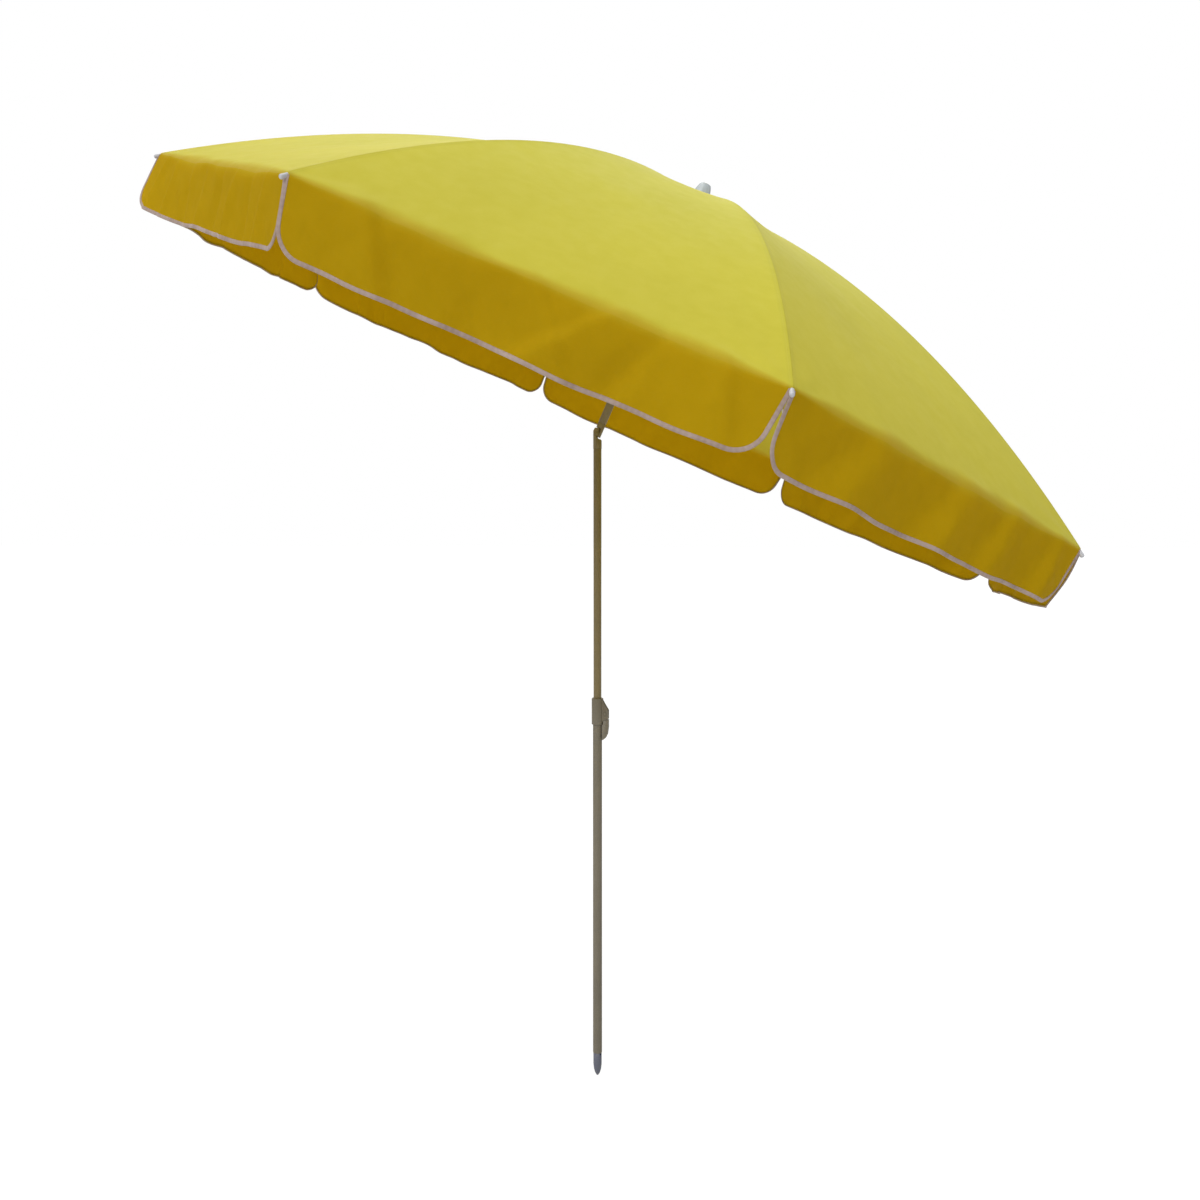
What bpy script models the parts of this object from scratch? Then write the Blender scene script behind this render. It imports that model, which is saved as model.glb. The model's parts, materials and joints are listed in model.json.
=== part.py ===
"""Tilting beach umbrella on a two-part telescopic pole, at full size.

Metres, +Z up. The origin is the point of the ground spike, on the pole's axis. The head leans
towards +X about the tilt pin, which lies along Y, so the umbrella is mirror-symmetric in the
XZ plane apart from the tilt button and the blind hole in the spike. Ribs stand half a gore
either side of that plane.

Bodies that move: the upper pole slides in the lower pole, the clamp lever swings on its pin,
the tilt button and the runner latch are pressed in, the head tilts, the runner slides on the
head pole, the ribs swing on the crown wire, and the stretchers on the ribs. Every piece that
turns is parented to an empty on its own axis.
"""

import math

import bmesh
import bpy
from mathutils import Matrix, Vector

# Pole
SPIKE_LENGTH = 0.058  # the part that shows below the lower pole
SPIKE_PLUG = 0.045
SPIKE_HOLE_TURN = math.radians(57)  # of the blind hole near its shoulder, from the -Y side
LOWER_POLE_RADIUS = 0.011
UPPER_POLE_RADIUS = 0.0095
TUBE_WALL = 0.001
COLLAR_BOTTOM = 0.863
COLLAR_TOP = 0.926
POLE_OVERLAP = 0.300  # upper pole inside the lower one, at rest

# Tilt joint
PIN_HEIGHT = 1.552
TILT = math.radians(24)
FORK_RADIUS = 0.010
FORK_REACH = 0.0146  # top of its ears, from the pin
FORK_FOOT = -0.035  # from the pin down to the end of the upper pole
SLOT_HALF_WIDTH = 0.0048
TONGUE_HALF_WIDTH = 0.0045
EYE_RADIUS = 0.0062
TILT_PIN_RADIUS = 0.0025
BUTTON_HEIGHT = -0.020
BUTTON_RADIUS = 0.0032
KNUCKLE_START = 0.015  # along the head pole, from the pin
CHEEK_START = 0.005  # where the knuckle's lower side begins, across from the pin
CHEEK_REACH = 0.006  # of the cheek, down past the pin
HEAD_POLE_START = 0.0273

# Canopy frame, measured from the crown, the point on the head's axis level with the rib hinges
CROWN_DISTANCE = 0.572  # pin to crown
CANOPY_RADIUS = 1.10
DOME_DROP = 0.42
DOME_POWER = 1.87
GORES = 8
SECTOR = 2 * math.pi / GORES
HUB_WIRE_RADIUS = 0.022
RUNNER_WIRE_RADIUS = 0.020
WIRE_THICKNESS = 0.002
RIB_THICKNESS = 0.005
RIB_END = 1.098
PIVOT_REACH = 0.292  # head axis to the pin between rib and stretcher
PIVOT_BELOW_RIB = 0.0085
STRETCHER_LENGTH = 0.280  # pin to runner wire
STRETCHER_WIDTH = 0.0052
STRETCHER_HEIGHT = 0.007
SLEEVE_TOP = 0.050  # runner, above its wire
SLEEVE_BOTTOM = -0.010

# Cover
CLOTH_LIFT = 0.0058  # above the ribs' centre line
CLOTH_THICKNESS = 0.001
CLOTH_START = 0.018
RIM_RADIUS = 1.094
SEAM_GAP = 0.0006
FLAP_LENGTH = 0.118
FLAP_CORNER = 0.045
FLAP_SIDE_GAP = 0.007
FLAP_INWARD_LEAN = math.radians(5.9)
FLAP_WEIGHT_LEAN = math.radians(10.3)  # towards the low side of the tilted canopy

GAP = 0.0003  # between pieces that touch

COLLECTION = "beach_umbrella"


def drop(radius):
    """How far the dome lies below the crown at this distance from the head's axis."""
    return DOME_DROP * (radius / CANOPY_RADIUS) ** DOME_POWER


# ---------------------------------------------------------------- building blocks


def clear_scene():
    for obj in list(bpy.data.objects):
        bpy.data.objects.remove(obj, do_unlink=True)
    collection = bpy.data.collections.new(COLLECTION)
    bpy.context.scene.collection.children.link(collection)


def linked(name, data):
    obj = bpy.data.objects.new(name, data)
    bpy.data.collections[COLLECTION].objects.link(obj)
    return obj


def frozen_mesh(obj, name):
    """The object's evaluated mesh as plain mesh data, with coincident points joined."""
    bpy.context.view_layer.update()
    evaluated = obj.evaluated_get(bpy.context.evaluated_depsgraph_get())
    mesh = bpy.data.meshes.new_from_object(evaluated)
    mesh.name = name
    work = bmesh.new()
    work.from_mesh(mesh)
    bmesh.ops.remove_doubles(work, verts=work.verts, dist=1e-6)
    work.to_mesh(mesh)
    work.free()
    return mesh


def as_mesh(obj):
    """Replaces the object by a mesh object of the same shape, moved to world coordinates."""
    mesh = frozen_mesh(obj, obj.name)
    mesh.transform(obj.matrix_world)
    bpy.data.objects.remove(obj, do_unlink=True)
    return linked(mesh.name, mesh)


def boolean(base, other, operation):
    modifier = base.modifiers.new(operation.lower(), "BOOLEAN")
    modifier.operation = operation
    modifier.solver = "EXACT"
    modifier.object = other
    mesh = frozen_mesh(base, base.name)
    base.modifiers.clear()
    base.data = mesh
    bpy.data.objects.remove(other, do_unlink=True)


def join(base, *others):
    for other in others:
        boolean(base, other, "UNION")
    return base


def cut(base, *cutters):
    for cutter in cutters:
        boolean(base, cutter, "DIFFERENCE")
    return base


def cuboid(low, high):
    work = bmesh.new()
    bmesh.ops.create_cube(work, size=1.0)
    size = Vector(high) - Vector(low)
    middle = (Vector(high) + Vector(low)) / 2
    bmesh.ops.scale(work, vec=size, verts=work.verts)
    bmesh.ops.translate(work, vec=middle, verts=work.verts)
    mesh = bpy.data.meshes.new("cuboid")
    work.to_mesh(mesh)
    work.free()
    return linked("cuboid", mesh)


def cylinder(radius, start, end, axis="Z", centre=(0, 0, 0), segments=16):
    """A closed cylinder that runs from start to end along Z or Y, about a line through centre."""
    work = bmesh.new()
    bmesh.ops.create_cone(
        work, cap_ends=True, segments=segments, radius1=radius, radius2=radius, depth=end - start
    )
    bmesh.ops.translate(work, vec=(0, 0, (start + end) / 2), verts=work.verts)
    if axis == "Y":
        bmesh.ops.rotate(work, matrix=Matrix.Rotation(-math.pi / 2, 3, "X"), verts=work.verts)
    bmesh.ops.translate(work, vec=centre, verts=work.verts)
    mesh = bpy.data.meshes.new("cylinder")
    work.to_mesh(mesh)
    work.free()
    return linked("cylinder", mesh)


def turned(profile, steps=24, closed=False):
    """A solid turned about Z. The profile is (radius, z) pairs, down the outer side."""
    mesh = bpy.data.meshes.new("turned")
    points = [(radius, 0, z) for radius, z in profile]
    edges = [(i, i + 1) for i in range(len(points) - 1)]
    if closed:
        edges.append((len(points) - 1, 0))
    mesh.from_pydata(points, edges, [])
    obj = linked("turned", mesh)
    screw = obj.modifiers.new("turn", "SCREW")
    screw.steps = steps
    screw.render_steps = steps
    screw.use_merge_vertices = True
    screw.merge_threshold = 0.0001
    return as_mesh(obj)


def tube_profile(outer, inner, bottom, top):
    return [(outer, top), (outer, bottom), (inner, bottom), (inner, top)]


def wire(points, thickness, cyclic=False, resolution=1):
    """A round wire or rod along straight runs between the points."""
    curve = bpy.data.curves.new("wire", "CURVE")
    curve.dimensions = "3D"
    curve.bevel_depth = thickness / 2
    curve.bevel_resolution = resolution
    curve.use_fill_caps = not cyclic
    spline = curve.splines.new("POLY")
    spline.points.add(len(points) - 1)
    for place, point in zip(spline.points, points):
        place.co = (*point, 1)
    spline.use_cyclic_u = cyclic
    return as_mesh(linked("wire", curve))


def plate(outline, half_thickness, standing=True):
    """A flat plate of this outline. It stands in the XZ plane, or in the YZ plane."""
    curve = bpy.data.curves.new("plate", "CURVE")
    curve.dimensions = "2D"
    curve.fill_mode = "BOTH"
    curve.extrude = half_thickness
    spline = curve.splines.new("POLY")
    spline.points.add(len(outline) - 1)
    for place, (across, up) in zip(spline.points, outline):
        place.co = (across, up, 0, 1)
    spline.use_cyclic_u = True
    obj = linked("plate", curve)
    upright = Matrix.Rotation(math.pi / 2, 4, "X")
    obj.matrix_world = upright if standing else Matrix.Rotation(math.pi / 2, 4, "Z") @ upright
    return as_mesh(obj)


def arc(centre, radius, start_deg, end_deg, steps):
    turn = (end_deg - start_deg) / steps
    angles = [math.radians(start_deg + turn * i) for i in range(steps + 1)]
    return [(centre[0] + radius * math.cos(a), centre[1] + radius * math.sin(a)) for a in angles]


def ring_points(apothem):
    """Corners of the eight-sided wire ring whose straight sides face the ribs."""
    corner = apothem / math.cos(SECTOR / 2)
    angles = [SECTOR * i for i in range(GORES)]
    return [(corner * math.cos(a), corner * math.sin(a), 0) for a in angles]


def material(name, colour, roughness, metallic=0.0):
    made = bpy.data.materials.new(name)
    made.use_nodes = True
    shader = made.node_tree.nodes["Principled BSDF"]
    shader.inputs["Base Color"].default_value = (*colour, 1)
    shader.inputs["Roughness"].default_value = roughness
    shader.inputs["Metallic"].default_value = metallic
    return made


def finish(shape, name, look, parent=None, location=(0, 0, 0), rotation=(0, 0, 0)):
    """Names a finished shape, gives it its material and puts it under its parent."""
    shape.name = name
    shape.data.name = name
    shape.data.materials.clear()
    shape.data.materials.append(material(name, *look))
    shape.data.shade_smooth()
    shape.data.set_sharp_from_angle(angle=math.radians(35))
    shape.parent = parent
    shape.location = location
    shape.rotation_euler = rotation
    return shape


def copies(shape, names, look, parents):
    """One object per name, which all share the shape's mesh."""
    finish(shape, names[0], look, parents[0])
    for name, parent in zip(names[1:], parents[1:]):
        obj = linked(name, shape.data)
        obj.parent = parent


def axis_empty(name, parent=None, location=(0, 0, 0), rotation=(0, 0, 0)):
    empty = linked(name, None)
    empty.parent = parent
    empty.location = location
    empty.rotation_euler = rotation
    return empty


# ---------------------------------------------------------------- looks: colour, roughness, metal

TAUPE = ((0.18, 0.15, 0.10), 0.45)
KHAKI = ((0.22, 0.18, 0.09), 0.45)
GREY_BLUE = ((0.16, 0.17, 0.23), 0.40)
STEEL = ((0.55, 0.55, 0.56), 0.30, 1.0)
WHITE_PLASTIC = ((0.75, 0.76, 0.76), 0.35)
CLEAR_PLASTIC = ((0.62, 0.66, 0.72), 0.25)
BLACK_PLASTIC = ((0.03, 0.03, 0.03), 0.50)
RIB_PAINT = ((0.70, 0.70, 0.68), 0.40)
YELLOW_CLOTH = ((0.62, 0.52, 0.05), 0.85)


# ---------------------------------------------------------------- lower pole and height clamp


def ground_spike():
    plug_radius = LOWER_POLE_RADIUS - TUBE_WALL - GAP
    shoulder = SPIKE_LENGTH - GAP
    profile = [
        (0, SPIKE_LENGTH + SPIKE_PLUG),
        (plug_radius, SPIKE_LENGTH + SPIKE_PLUG),
        (plug_radius, shoulder),
        (0.0103, shoulder),
        (0.0103, 0.030),
        (0.0088, 0.017),
        (0.0058, 0.007),
        (0.0024, 0.0015),
        (0, 0),
    ]
    spike = turned(profile, steps=20)
    hole = cylinder(0.0026, -0.0125, -0.0065, "Y", (0, 0, SPIKE_LENGTH - 0.0034), 10)
    hole.data.transform(Matrix.Rotation(SPIKE_HOLE_TURN, 4, "Z"))
    finish(cut(spike, hole), "ground_spike", GREY_BLUE)


def lower_pole():
    outer, inner = LOWER_POLE_RADIUS, LOWER_POLE_RADIUS - TUBE_WALL
    top = COLLAR_TOP - 0.011
    finish(turned(tube_profile(outer, inner, SPIKE_LENGTH, top), closed=True), "lower_pole", TAUPE)


CLAMP_PIN = (0.0195, 0.889)  # x, z
CLAMP_PIN_RADIUS = 0.0015
EAR_INNER, EAR_OUTER = 0.004, 0.008


def clamp_collar():
    """A split ring on the lower pole, with two ears that hold the lever's pin."""
    over_lower = LOWER_POLE_RADIUS + GAP
    over_upper = UPPER_POLE_RADIUS + GAP
    step = COLLAR_TOP - 0.0107
    ring = [
        (0.0128, COLLAR_TOP),
        (0.0140, COLLAR_TOP - 0.0015),
        (0.0140, COLLAR_BOTTOM),
        (over_lower, COLLAR_BOTTOM),
        (over_lower, step),
        (over_upper, step),
        (over_upper, COLLAR_TOP),
    ]
    ear = [
        (0.0118, 0.9235),
        (0.0118, 0.8700),
        (0.0195, 0.8745),
        (0.0240, 0.8751),
        (0.0270, 0.8768),
        (0.0270, 0.8965),
        (0.0160, 0.9150),
    ]
    collar = turned(ring, closed=True)
    for side in (-1, 1):
        shape = plate(ear, (EAR_OUTER - EAR_INNER) / 2)
        shape.data.transform(Matrix.Translation((0, side * (EAR_INNER + EAR_OUTER) / 2, 0)))
        join(collar, shape)
    slit = cuboid((0.008, -0.001, COLLAR_BOTTOM - 0.01), (0.020, 0.001, COLLAR_TOP + 0.01))
    hole = cylinder(CLAMP_PIN_RADIUS + GAP, -0.02, 0.02, "Y", (CLAMP_PIN[0], 0, CLAMP_PIN[1]), 12)
    finish(cut(collar, slit, hole), "clamp_collar", TAUPE)


def rivet(radius, head_radius, half_length, head_height):
    """A pin along Z with a flat head at each end."""
    neck = half_length - head_height
    return turned(
        [
            (0, half_length),
            (head_radius, half_length),
            (head_radius, neck),
            (radius, neck),
            (radius, -neck),
            (head_radius, -neck),
            (head_radius, -half_length),
            (0, -half_length),
        ],
        steps=12,
    )


def clamp_lever():
    """The handle that pulls the collar shut. It lies down along the pole when it is locked."""
    x, z = CLAMP_PIN
    pivot = axis_empty("clamp_lever_axis", location=(x, 0, z))
    handle_top = 0.8738 - z
    side = [
        (0.0146, 0.8713),
        (0.0146, COLLAR_BOTTOM - 0.0004),
        (0.0116, COLLAR_BOTTOM - 0.0004),
        (0.0116, 0.8260),
        (0.0138, 0.8260),
        (0.0205, 0.8310),
        (0.0246, 0.8390),
        (0.0270, 0.8560),
        (0.0270, 0.8750),
        (0.0240, 0.8738),
        (0.0195, 0.8738),
    ]
    lever = plate([(across - x, up - z) for across, up in side], 0.0085)
    neck = cuboid((-0.0036, -0.0034, handle_top - 0.003), (0.0040, 0.0034, 0))
    head = cylinder(0.0045, -0.0035, 0.0035, "Y")
    join(lever, neck, head)
    cut(lever, cylinder(CLAMP_PIN_RADIUS + GAP, -0.01, 0.01, "Y", segments=12))
    finish(lever, "clamp_lever", TAUPE, pivot)
    pin = rivet(CLAMP_PIN_RADIUS, 0.003, 0.0095, 0.0012)
    finish(pin, "clamp_pin", TAUPE, None, (x, 0, z), (math.pi / 2, 0, 0))


# ---------------------------------------------------------------- upper pole and tilt joint

UPPER_POLE_FOOT = COLLAR_TOP - POLE_OVERLAP
PLUG_RADIUS = UPPER_POLE_RADIUS - TUBE_WALL - GAP


def upper_pole():
    outer, inner = UPPER_POLE_RADIUS, UPPER_POLE_RADIUS - TUBE_WALL
    top = PIN_HEIGHT + FORK_FOOT
    shape = turned(tube_profile(outer, inner, UPPER_POLE_FOOT, top), closed=True)
    finish(shape, "upper_pole", KHAKI)
    guide_radius = LOWER_POLE_RADIUS - TUBE_WALL - GAP
    guide = turned(
        [
            (0, 0.018),
            (PLUG_RADIUS, 0.018),
            (PLUG_RADIUS, -GAP),
            (guide_radius, -GAP),
            (guide_radius, -0.012),
            (guide_radius - 0.001, -0.013),
            (0, -0.013),
        ],
        steps=20,
    )
    finish(guide, "guide_bush", BLACK_PLASTIC, None, (0, 0, UPPER_POLE_FOOT))


def tilt_fork():
    """Two ears and a back wall round the slot for the tongue, open towards +X. Origin: the pin."""
    fork = cylinder(FORK_RADIUS, FORK_FOOT + GAP, 0.020, segments=24)
    top = [
        (0.012, -0.0190),
        (0.0075, -0.0125),
        (0.0030, -0.0117),
        (-0.0006, -0.0082),
        *arc((0, 0), 0.0046, -98, 0, 5),
        *arc((0, 0), FORK_REACH, 71.6, 90, 2),
        (-0.0045, FORK_REACH),
        (-0.012, 0.0042),
        (-0.012, 0.030),
        (0.012, 0.030),
    ]
    slot = cuboid((-0.0068, -SLOT_HALF_WIDTH, -0.0068), (0.020, SLOT_HALF_WIDTH, 0.030))
    pin_hole = cylinder(TILT_PIN_RADIUS + GAP, -0.02, 0.02, "Y")
    bore = cylinder(BUTTON_RADIUS + GAP, -0.004, 0.02, "Y", (0, 0, BUTTON_HEIGHT))
    plug = cylinder(PLUG_RADIUS, FORK_FOOT - 0.025, FORK_FOOT + 0.002, segments=24)
    cut(fork, plate(top, 0.02), slot, pin_hole)
    join(fork, plug)
    cut(fork, bore)
    finish(fork, "tilt_fork", KHAKI, None, (0, 0, PIN_HEIGHT))


def tilt_button():
    """A push button on the fork's +Y side, on a coil spring in a blind bore."""
    place = (0, 0, PIN_HEIGHT + BUTTON_HEIGHT)
    button = turned(
        [
            (0, 0.0122),
            (0.0018, 0.0120),
            (BUTTON_RADIUS, 0.0110),
            (BUTTON_RADIUS, 0.0030),
            (0, 0.0030),
        ],
        steps=16,
    )
    finish(button, "tilt_button", STEEL, None, place, (-math.pi / 2, 0, 0))
    turns, per_turn, coil_radius, bottom, top = 3.5, 10, 0.0022, -0.0033, 0.0024
    count = int(turns * per_turn)
    helix = [
        (
            coil_radius * math.cos(2 * math.pi * i / per_turn),
            coil_radius * math.sin(2 * math.pi * i / per_turn),
            bottom + (top - bottom) * i / count,
        )
        for i in range(count + 1)
    ]
    finish(wire(helix, 0.0006), "button_spring", STEEL, None, place, (-math.pi / 2, 0, 0))


def tilt_tongue(tilt_axis):
    """The flat eye between the fork's ears, and the round knuckle that carries the head pole.

    The knuckle reaches down past the pin on the side that it leans to, where the fork is open.
    """
    tongue = cylinder(EYE_RADIUS, -TONGUE_HALF_WIDTH, TONGUE_HALF_WIDTH, "Y", segments=20)
    half = EYE_RADIUS
    neck = cuboid((-half, -TONGUE_HALF_WIDTH, 0), (half, TONGUE_HALF_WIDTH, KNUCKLE_START + 0.001))
    knuckle = cylinder(UPPER_POLE_RADIUS, -CHEEK_REACH, HEAD_POLE_START - GAP, segments=24)
    cut(knuckle, cuboid((-0.02, -0.02, -0.02), (CHEEK_START, 0.02, KNUCKLE_START)))
    plug = cylinder(PLUG_RADIUS, HEAD_POLE_START - 0.002, HEAD_POLE_START + 0.025, segments=24)
    join(tongue, neck, knuckle, plug)
    cut(tongue, cylinder(TILT_PIN_RADIUS + GAP, -0.02, 0.02, "Y"))
    finish(tongue, "tilt_tongue", KHAKI, tilt_axis)
    pin = rivet(TILT_PIN_RADIUS, 0.004, 0.0113, 0.001)
    finish(pin, "tilt_pin", KHAKI, None, (0, 0, PIN_HEIGHT), (math.pi / 2, 0, 0))


# ---------------------------------------------------------------- head: pole, crown and runner

HUB_BOTTOM = -0.010
RIB_SLOPE_START = drop(HUB_WIRE_RADIUS)


def rib_height(x):
    """Height of a rib's centre line above its hinge, x metres out from the hinge."""
    return RIB_SLOPE_START - drop(x + HUB_WIRE_RADIUS)


PIVOT_X = PIVOT_REACH - HUB_WIRE_RADIUS
PIVOT_Z = rib_height(PIVOT_X) - PIVOT_BELOW_RIB
PIVOT_TO_WIRE = PIVOT_REACH - RUNNER_WIRE_RADIUS
STRETCHER_DROP = math.sqrt(STRETCHER_LENGTH**2 - PIVOT_TO_WIRE**2)
RUNNER_HEIGHT = CROWN_DISTANCE + PIVOT_Z - STRETCHER_DROP  # from the tilt pin, at rest
LATCH_TOP = RUNNER_HEIGHT + SLEEVE_BOTTOM - 0.0008
LATCH_NOSE = 0.018


def slotted_ring(radius, bottom, top, floor_radius, slot_width):
    """A disc with one radial slot in its edge for each rib."""
    ring = cylinder(radius, bottom, top, segments=32)
    for i in range(GORES):
        slot = cuboid((floor_radius, -slot_width / 2, bottom - 0.01), (0.05, slot_width / 2, top + 0.01))
        slot.data.transform(Matrix.Rotation(SECTOR * (i + 0.5), 4, "Z"))
        cut(ring, slot)
    return ring


def head_pole(tilt_axis):
    outer, inner = UPPER_POLE_RADIUS, UPPER_POLE_RADIUS - TUBE_WALL
    top = CROWN_DISTANCE + HUB_BOTTOM - GAP
    tube = turned(tube_profile(outer, inner, HEAD_POLE_START, top), closed=True)
    low = LATCH_TOP - LATCH_NOSE - 0.0010
    window = cuboid((-0.012, -0.0025, low), (-0.005, 0.0025, LATCH_TOP + 0.0008))
    finish(cut(tube, window), "head_pole", KHAKI, tilt_axis)


def runner_latch(tilt_axis):
    """A strip spring inside the head pole, whose nose stands out just under the runner."""
    outline = [
        (-0.0072, LATCH_TOP - 0.060),
        (-0.0064, LATCH_TOP - 0.060),
        (-0.0064, LATCH_TOP),
        (-0.0130, LATCH_TOP),
        (-0.0136, LATCH_TOP - 0.0010),
        (-0.0072, LATCH_TOP - LATCH_NOSE),
    ]
    finish(plate(outline, 0.0018), "runner_latch", STEEL, tilt_axis)


def crown_parts(crown):
    hub = slotted_ring(0.0205, HUB_BOTTOM, 0.0045, 0.0175, 0.0056)
    join(hub, cylinder(PLUG_RADIUS, HUB_BOTTOM - 0.020, HUB_BOTTOM + 0.002, segments=24))
    cut(hub, cylinder(0.0046, -0.05, 0.02))
    finish(hub, "crown_hub", WHITE_PLASTIC, crown)
    finish(wire(ring_points(HUB_WIRE_RADIUS), WIRE_THICKNESS, True, 2), "crown_wire", STEEL, crown)
    washer = turned(tube_profile(0.028, 0.0046, 0.0072, 0.0087), closed=True)
    finish(washer, "canopy_washer", WHITE_PLASTIC, crown)


def finial(crown):
    """A faceted knob on a stud that passes through the washer into the hub."""
    profile = [
        (0, 0.0480),
        (0.0120, 0.0475),
        (0.0150, 0.0420),
        (0.0195, 0.0280),
        (0.0190, 0.0200),
        (0.0150, 0.0090),
        (0.0042, 0.0090),
        (0.0042, -0.025),
        (0, -0.025),
    ]
    knob = turned(profile, steps=12)
    finish(knob, "finial", CLEAR_PLASTIC, crown)


def runner(tilt_axis):
    """A sleeve with a slotted ring at its foot, and the wire that the stretchers hang on."""
    shape = slotted_ring(0.0185, SLEEVE_BOTTOM, 0.006, 0.0150, 0.0064)
    join(shape, cylinder(0.0135, SLEEVE_BOTTOM, SLEEVE_TOP, segments=24))
    cut(shape, cylinder(UPPER_POLE_RADIUS + 0.0004, -0.05, 0.10, segments=24))
    finish(shape, "runner", WHITE_PLASTIC, tilt_axis, (0, 0, RUNNER_HEIGHT))
    ring = wire(ring_points(RUNNER_WIRE_RADIUS), WIRE_THICKNESS, True, 2)
    finish(ring, "runner_wire", STEEL, tilt_axis, (0, 0, RUNNER_HEIGHT))


# ---------------------------------------------------------------- ribs and stretchers

RIB_POINTS = 13
ROD_START = 0.0022


def rib_line():
    """Points on a rib's centre line, from its eye to its tip, closer together near the tip."""
    end = RIB_END - HUB_WIRE_RADIUS
    shares = [i / (RIB_POINTS - 1) for i in range(RIB_POINTS)]
    reach = [ROD_START + (end - ROD_START) * share for share in shares]
    return [(x, 0, rib_height(x)) for x in reach]


def rib_shape():
    """A round rod with an eye for the crown wire, and a lug with a cross pin. Origin: the eye."""
    rod = wire(rib_line(), RIB_THICKNESS)
    eye = cylinder(0.0035, -0.0022, 0.0022, "Y")
    low, high = PIVOT_Z - 0.0035, rib_height(PIVOT_X) - 0.0005
    lug = cuboid((PIVOT_X - 0.0035, -0.0010, low), (PIVOT_X + 0.0035, 0.0010, high))
    pin = cylinder(0.0012, -0.0032, 0.0032, "Y", (PIVOT_X, 0, PIVOT_Z), 10)
    join(rod, eye, lug, pin)
    return cut(rod, cylinder(0.0014, -0.01, 0.01, "Y", segments=12))


def rib_tip_shape():
    """A cup over the rod's end, as it lies on the rib."""
    before, last = (Vector(point) for point in rib_line()[-2:])
    slope = math.atan2(before.z - last.z, last.x - before.x)
    cup = turned(
        [
            (0, 0.0050),
            (0.0024, 0.0046),
            (0.0040, 0.0030),
            (0.0042, 0.0010),
            (0.0042, -0.0160),
            (0.0030, -0.0160),
            (0.0030, GAP),
            (0, GAP),
        ],
        steps=12,
    )
    cup.data.transform(Matrix.Rotation(math.pi / 2 + slope, 4, "Y"))
    cup.data.transform(Matrix.Translation(last))
    return cup


def stretcher_shape():
    """A channel, open on one side, that forks round the rib's lug. Origin: the cross pin.

    Its inner end stops just short of the runner wire, where the linkage is left open.
    """
    end = STRETCHER_LENGTH - WIRE_THICKNESS / 2 - 0.0014
    half_width, half_height, inside = STRETCHER_WIDTH / 2, STRETCHER_HEIGHT / 2, 0.0014
    bar = cuboid((-half_height, -half_width, -half_height), (end, half_width, half_height))
    channel = cuboid((-0.01, -inside, -0.01), (end + 0.01, inside, half_height - 0.001))
    fork = cuboid((-0.01, -inside, -0.01), (0.008, inside, 0.01))
    return cut(bar, channel, fork, cylinder(0.0016, -0.01, 0.01, "Y", segments=12))


def ribs(crown):
    hinges, pivots = [], []
    for i in range(GORES):
        angle = SECTOR * (i + 0.5)
        place = (HUB_WIRE_RADIUS * math.cos(angle), HUB_WIRE_RADIUS * math.sin(angle), 0)
        hinge = axis_empty(f"rib_{i + 1}_axis", crown, place, (0, 0, angle))
        towards_runner = math.pi - math.atan2(STRETCHER_DROP, PIVOT_TO_WIRE)
        pivot = axis_empty(
            f"stretcher_{i + 1}_axis", hinge, (PIVOT_X, 0, PIVOT_Z), (0, towards_runner, 0)
        )
        hinges.append(hinge)
        pivots.append(pivot)
    numbers = range(1, GORES + 1)
    copies(rib_shape(), [f"rib_{i}" for i in numbers], RIB_PAINT, hinges)
    copies(rib_tip_shape(), [f"rib_tip_{i}" for i in numbers], WHITE_PLASTIC, hinges)
    copies(stretcher_shape(), [f"stretcher_{i}" for i in numbers], RIB_PAINT, pivots)


# ---------------------------------------------------------------- cover: gores and valance flaps

GORE_HINGE = HUB_WIRE_RADIUS * math.cos(SECTOR / 2)
HALF_GORE = math.sin(SECTOR / 2)
GORE_ROWS = 9
RIM_X = RIM_RADIUS * math.cos(SECTOR / 2) - GORE_HINGE
RIM_Z = CLOTH_LIFT - drop(RIM_RADIUS)


def gore_shape():
    """Cloth from seam to seam, straight across and curved outwards. Origin: level with the hub."""
    work = bmesh.new()
    bmesh.ops.create_grid(work, x_segments=GORE_ROWS - 1, y_segments=1, size=0.5)
    for vert in work.verts:
        share, side = vert.co.x + 0.5, math.copysign(1, vert.co.y)
        radius = CLOTH_START + (RIM_RADIUS - CLOTH_START) * share
        x = radius * math.cos(SECTOR / 2) - GORE_HINGE
        y = side * (radius * HALF_GORE - SEAM_GAP)
        vert.co = (x, y, CLOTH_LIFT - drop(radius))
    mesh = bpy.data.meshes.new("gore")
    work.to_mesh(mesh)
    work.free()
    obj = linked("gore", mesh)
    cloth = obj.modifiers.new("thickness", "SOLIDIFY")
    cloth.thickness = CLOTH_THICKNESS
    cloth.offset = 1
    return as_mesh(obj)


def flap_shape():
    """A hanging flap with rounded lower corners. Origin: the middle of its top edge."""
    half = RIM_RADIUS * HALF_GORE - FLAP_SIDE_GAP
    corner_y, corner_z = half - FLAP_CORNER, FLAP_CORNER - FLAP_LENGTH
    outline = [
        (half, 0),
        (-half, 0),
        *arc((-corner_y, corner_z), FLAP_CORNER, 180, 270, 4),
        *arc((corner_y, corner_z), FLAP_CORNER, 270, 360, 4),
    ]
    return plate(outline, CLOTH_THICKNESS / 2, standing=False)


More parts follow.
